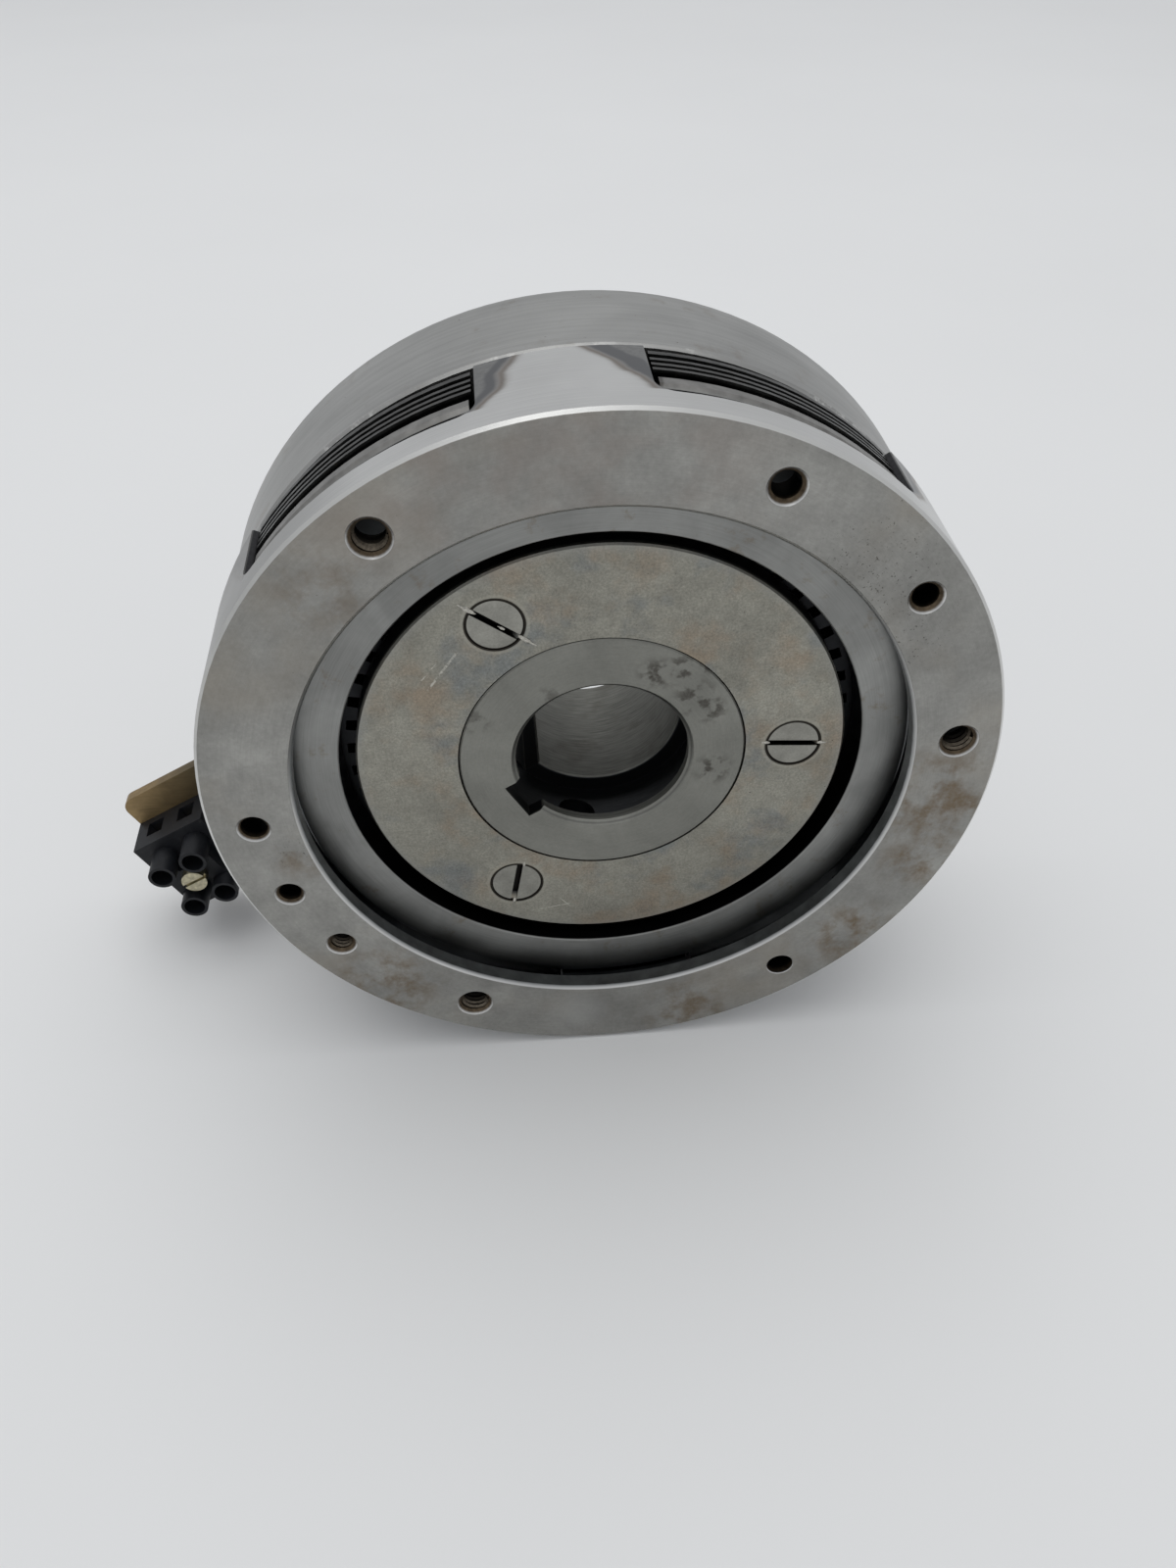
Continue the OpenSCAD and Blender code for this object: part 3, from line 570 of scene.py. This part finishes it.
def bearing_finish(name, tone, low, high):
    """Plain worked metal, its roughness between low and high."""
    f = Finish(name)
    colour = f.shade(tone, f.lathe(0.15, 2), 0.92, 1.08)
    colour = f.shade(colour, f.noise(6, 4), 0.88, 1.12)
    rough = f.scale(f.noise(5, 3, lift=0.4), low, high)
    return f.done(colour, rough, f.bump(f.lathe(0.3, 2), 0.006, 0.4))


def black_moulding(name, tone, rough):
    """Dark moulded plastic or resin with dust in its grain."""
    f = Finish(name, metallic=0.0, specular=0.30)
    colour = f.shade(tone, f.noise(2.2, 5, 0.7), 0.70, 1.35)
    dust = f.rise(f.noise(1.6, 5, 0.75, lift=0.3), 0.58, 0.70)
    colour = f.mix(f.both(dust, 0.20), colour, (0.085, 0.082, 0.076))
    sheen = f.scale(f.noise(3, 4), rough - 0.10, rough + 0.10)
    return f.done(colour, sheen, f.bump(f.noise(0.35, 3), 0.018, 0.5))


WIRE_WAVE_SCALE = 1000 / 0.55 / 6.28    # fineness of the drawn turns


def copper_turns():
    f = Finish("enamelled_wire", metallic=0.55, specular=0.5, coat=0.3)
    w = f.node("ShaderNodeTexWave")
    w.bands_direction = "Y"
    w.inputs["Scale"].default_value = WIRE_WAVE_SCALE
    w.inputs["Distortion"].default_value = 0.3
    f.link(f.place, w.inputs["Vector"])
    colour = f.shade((0.42, 0.17, 0.06), w.outputs["Fac"], 0.45, 1.2)
    return f.done(colour, 0.34, f.bump(w.outputs["Fac"], 0.12, 0.8))


def turned_brass():
    f = Finish("turned_brass")
    lines = f.lathe(0.25, 4)
    colour = f.shade((0.50, 0.36, 0.14), lines, 0.85, 1.12)
    colour = f.mix(f.both(f.rise(f.noise(3, 5, 0.7), 0.48, 0.7), 0.5), colour, (0.20, 0.13, 0.06))
    return f.done(colour, f.scale(f.noise(4, 3), 0.28, 0.48), f.bump(lines, 0.008, 0.5))


def zinc_screw():
    f = Finish("yellow_zinc")
    colour = f.shade((0.50, 0.46, 0.33), f.noise(1.2, 4), 0.6, 1.35)
    return f.done(colour, f.scale(f.noise(2, 3), 0.30, 0.46), f.bump(f.noise(0.5, 3), 0.02, 0.5))


STREAK_TILT = 28.4          # degrees, the lie of the rolling marks


def bracket_finish():
    """Yellow-brown passivated sheet, with painted shade darkening it towards the magnet body."""
    f = Finish("passivated_sheet", metallic=0.75)
    # painted shade: the sheet darkens towards the magnet body
    colour = f.mix(f.rise(f.r, 134 * MM, 100 * MM), (0.29, 0.205, 0.100), (0.065, 0.052, 0.030))
    colour = f.shade(colour, f.noise(9, 5, 0.65, warp=0.7), 0.72, 1.25)
    roll = f.node("ShaderNodeMapping")
    roll.inputs["Rotation"].default_value = (0, math.radians(-STREAK_TILT), 0)
    roll.inputs["Scale"].default_value = (1, 12, 12)
    f.link(f.place, roll.inputs["Vector"])
    streak = f.noise(9, 4, 0.6, vector=roll.outputs[0])
    colour = f.shade(colour, streak, 0.85, 1.15)
    return f.done(colour, f.scale(f.noise(6, 4), 0.38, 0.58), f.bump(streak, 0.010, 0.4))


dress(driver_steel(), "cage")
dress(armature_steel(), "armature_plate")
for k in range(1, 5):
    finish = disc_steel("outer_disc_edge_%d" % k, (0.075, 0.075, 0.073), k - 1, OUTER_DISC_EDGE)
    dress(finish, "outer_plate_%d" % k)
for k in range(1, 6):
    finish = disc_steel("inner_disc_edge_%d" % k, (0.060, 0.060, 0.060), k + 5, INNER_DISC_EDGE)
    dress(finish, "inner_plate_%d" % k)
dress(hub_steel(), "hub")
dress(end_plate_steel(), "end_plate")
dress(screw_steel(), "end_plate_screws")
dress(magnet_steel(), "magnet_body", "outer_pole")
dress(bearing_finish("ground_race", (0.52, 0.52, 0.52), 0.16, 0.30),
      "bearing_inner_race", "bearing_outer_race")
dress(bearing_finish("polished_ball", (0.66, 0.66, 0.66), 0.06, 0.14), "bearing_balls")
dress(bearing_finish("pressed_shield", (0.40, 0.40, 0.41), 0.24, 0.38), "bearing_shields")
dress(bearing_finish("blued_spring_steel", (0.085, 0.088, 0.096), 0.30, 0.46),
      "hub_circlip", "housing_circlip")
dress(bearing_finish("machine_screw_steel", (0.36, 0.35, 0.32), 0.30, 0.44),
      "bracket_screws", "terminal_screws")
dress(turned_brass(), "pole_spacer", "bearing_cage", "terminal_clamps")
dress(black_moulding("coil_moulding", (0.030, 0.028, 0.026), 0.55), "coil_bobbin")
dress(black_moulding("potting_resin", (0.050, 0.040, 0.030), 0.42), "coil_potting")
dress(black_moulding("terminal_moulding", (0.0075, 0.0085, 0.011), 0.50), "terminal_block")
dress(copper_turns(), "coil_winding")
dress(zinc_screw(), "block_screw")
dress(bracket_finish(), "bracket")


# ---------------------------------------------------------------- pieces added on the bench
def clear_choice():
    if bpy.context.object and bpy.context.object.mode != "OBJECT":
        bpy.ops.object.mode_set(mode="OBJECT")
    bpy.ops.object.select_all(action="DESELECT")


def press_modifiers(piece):
    bpy.context.view_layer.objects.active = piece
    for m in list(piece.modifiers):
        bpy.ops.object.modifier_apply(modifier=m.name)


def settle(piece):
    """Puts a piece's place into its mesh, so its object sits at the origin."""
    clear_choice()
    piece.select_set(True)
    bpy.context.view_layer.objects.active = piece
    bpy.ops.object.transform_apply(location=True, rotation=True, scale=True)


def tidy_mesh(piece):
    clear_choice()
    piece.select_set(True)
    bpy.context.view_layer.objects.active = piece
    bpy.ops.object.mode_set(mode="EDIT")
    bpy.ops.mesh.select_all(action="SELECT")
    bpy.ops.mesh.remove_doubles(threshold=1e-7)
    bpy.ops.mesh.normals_make_consistent(inside=False)
    bpy.ops.object.mode_set(mode="OBJECT")


TOOTH_SHARE = 0.36          # half a tooth's height, as a share of the pitch
TOOTH_SUNK = 0.18           # its middle stands this far in front of the wall, in half heights
THREAD_STEPS = 28           # facets in one turn of a thread


def cut_thread(name, centre, wall_mm, pitch_mm, start_mm, turns, body, mat):
    """Thread flanks standing in a tapped hole: one tooth section swept up a screw."""
    x, z = centre
    tooth = TOOTH_SHARE * pitch_mm * MM
    clear_choice()
    bpy.ops.mesh.primitive_circle_add(vertices=4, radius=tooth, fill_type="NGON",
                                      location=(wall_mm * MM - tooth * TOOTH_SUNK, 0, 0))
    piece = bpy.context.object
    piece.name = name
    bpy.ops.object.transform_apply(location=True, rotation=False, scale=False)
    sweep = piece.modifiers.new("sweep", "SCREW")
    sweep.axis = "Z"
    sweep.angle = 2 * math.pi
    sweep.screw_offset = pitch_mm * MM
    sweep.iterations = turns
    sweep.steps = sweep.render_steps = THREAD_STEPS
    sweep.use_merge_vertices = False
    # the section lies flat, so it is stood up into the plane that holds the axis
    bpy.ops.object.mode_set(mode="EDIT")
    bpy.ops.mesh.select_all(action="SELECT")
    bpy.ops.transform.rotate(value=math.radians(90), orient_axis="X", center_override=(0, 0, 0))
    bpy.ops.object.mode_set(mode="OBJECT")
    press_modifiers(piece)
    piece.rotation_euler = (math.radians(-90), 0, 0)
    piece.location = (x, start_mm * MM, z)
    settle(piece)
    tidy_mesh(piece)
    piece.data.materials.append(mat)
    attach(piece, body)


def thread_finish():
    f = Finish("cut_thread_steel")
    colour = f.shade((0.150, 0.128, 0.100), f.noise(0.7, 4, 0.7), 0.45, 1.35)
    # painted shade: the thread is painted near black further into the hole
    colour = f.mix(f.rise(f.y, 2 * MM, 4.6 * MM), colour, (0.010, 0.009, 0.008))
    return f.done(colour, f.scale(f.noise(1.2, 3), 0.30, 0.5), f.bump(f.noise(0.3, 3), 0.01, 0.4))


THREAD = thread_finish()
for k in range(3):
    cut_thread("flange_thread_%d" % (k + 1), HOLE_XZ["thread_%d" % k], wall_mm=3.4, pitch_mm=1.25,
               start_mm=1.5, turns=4, body="driver", mat=THREAD)
cut_thread("small_thread", HOLE_XZ["hole_216"], wall_mm=2.5, pitch_mm=1.0,
           start_mm=1.6, turns=4, body="driver", mat=THREAD)


def burr_finish():
    f = Finish("peened_bright_steel")
    colour = f.shade((0.60, 0.58, 0.52), f.noise(0.5, 4, 0.7), 0.45, 1.2)
    return f.done(colour, 0.30, f.bump(f.noise(0.25, 3), 0.03, 0.7))


BURR_UNEVEN = 0.16 * MM     # random push on a burr's surface
BURR_CLEAR = 0.02 * MM      # its middle stands this far behind the plate's front


def peened_burr(name, at, heading, size, seed, mat):
    """A sliver of plate raised where a screw was staked into its slot."""
    clear_choice()
    bpy.ops.mesh.primitive_ico_sphere_add(subdivisions=3, radius=MM)
    piece = bpy.context.object
    piece.name = name
    long_part, wide_part, high_part = size
    bpy.ops.object.mode_set(mode="EDIT")
    bpy.ops.mesh.select_all(action="SELECT")
    bpy.ops.transform.vertex_random(offset=BURR_UNEVEN, seed=seed)
    bpy.ops.transform.resize(value=(long_part, high_part, wide_part), center_override=(0, 0, 0))
    # one end is drawn out thin
    shape = bmesh.from_edit_mesh(piece.data)
    for v in shape.verts:
        v.select = v.co.x > 0.25 * long_part * MM
    shape.select_flush(True)
    bmesh.update_edit_mesh(piece.data)
    bpy.ops.transform.resize(value=(1.15, 0.7, 0.55), center_override=(0, 0, 0))
    bpy.ops.object.mode_set(mode="OBJECT")
    piece.rotation_euler = (0, -math.radians(heading), 0)
    piece.location = (at[0] * MM, PLATE_FRONT + BURR_CLEAR, at[1] * MM)
    settle(piece)
    bpy.ops.object.shade_smooth_by_angle(angle=math.radians(40))
    piece.data.materials.append(mat)
    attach(piece, "hub")


BURR = burr_finish()
peened_burr("burr_upper_outer", (-27.2, 39.8), 145, (1.9, 0.55, 0.32), 3, BURR)
peened_burr("burr_upper_inner", (-15.6, 31.8), 325, (2.1, 0.55, 0.34), 5, BURR)
peened_burr("burr_upper_middle", (-20.6, 35.1), 145, (0.8, 0.30, 0.16), 8, BURR)
peened_burr("burr_right_inner", (35.9, 1.6), 176, (0.9, 0.40, 0.20), 11, BURR)
peened_burr("burr_right_outer", (48.3, 0.8), 356, (1.0, 0.45, 0.22), 13, BURR)
peened_burr("burr_lower_top", (-18.2, -31.0), 80, (0.8, 0.34, 0.18), 17, BURR)
peened_burr("burr_lower_foot", (-20.9, -43.0), 260, (1.1, 0.42, 0.22), 19, BURR)


# ---------------------------------------------------------------- floor, light and camera
FLOOR_SIZE = 14             # metres across
FLOOR_GAP = 0.3 * MM        # keeps the floor clear of the part
DAYLIGHT, DAYLIGHT_STRENGTH = (0.96, 0.975, 1.0, 1), 0.62
CAMERA_AT = (-0.02247, -0.20533, 0.17973)
CAMERA_TOWARDS = (0.0673, 0.7521, -0.6556)
SENSOR_MM, LENS_MM = 36, 29.55


def pale_sheet():
    f = Finish("pale_sheet", metallic=0.0, specular=0.2)
    colour = f.shade((0.78, 0.785, 0.785), f.noise(300, 3), 0.985, 1.015)
    return f.done(colour, 0.75)


clear_choice()
bpy.ops.mesh.primitive_plane_add(size=FLOOR_SIZE, location=(0, 0, FLOOR_Z - FLOOR_GAP))
floor = bpy.context.object
floor.name = "floor"
floor.data.materials.append(pale_sheet())

world = bpy.data.worlds.new("studio")
world.use_nodes = True
sky = world.node_tree.nodes["Background"]
sky.inputs[0].default_value = DAYLIGHT
sky.inputs[1].default_value = DAYLIGHT_STRENGTH
bpy.context.scene.world = world


def softbox(name, at, look, size, watts):
    light = bpy.data.lights.new(name, "AREA")
    light.shape = "RECTANGLE"
    light.size, light.size_y = size
    light.energy = watts
    lamp = bpy.data.objects.new(name, light)
    bpy.context.scene.collection.objects.link(lamp)
    lamp.location = at
    lamp.rotation_mode = "QUATERNION"
    lamp.rotation_quaternion = (Vector(look) - Vector(at)).to_track_quat("-Z", "Y")


softbox("overhead", at=(-0.15, 0.20, 1.9), look=(0, 0, 0), size=(2.2, 2.0), watts=17)

camera_data = bpy.data.cameras.new("camera")
camera_data.sensor_width = SENSOR_MM
camera_data.lens = LENS_MM
camera_data.clip_start = 0.01
camera = bpy.data.objects.new("camera", camera_data)
bpy.context.scene.collection.objects.link(camera)
camera.location = CAMERA_AT
camera.rotation_mode = "QUATERNION"
camera.rotation_quaternion = Vector(CAMERA_TOWARDS).to_track_quat("-Z", "Y")
bpy.context.scene.camera = camera
bpy.context.scene.view_settings.view_transform = "Standard"
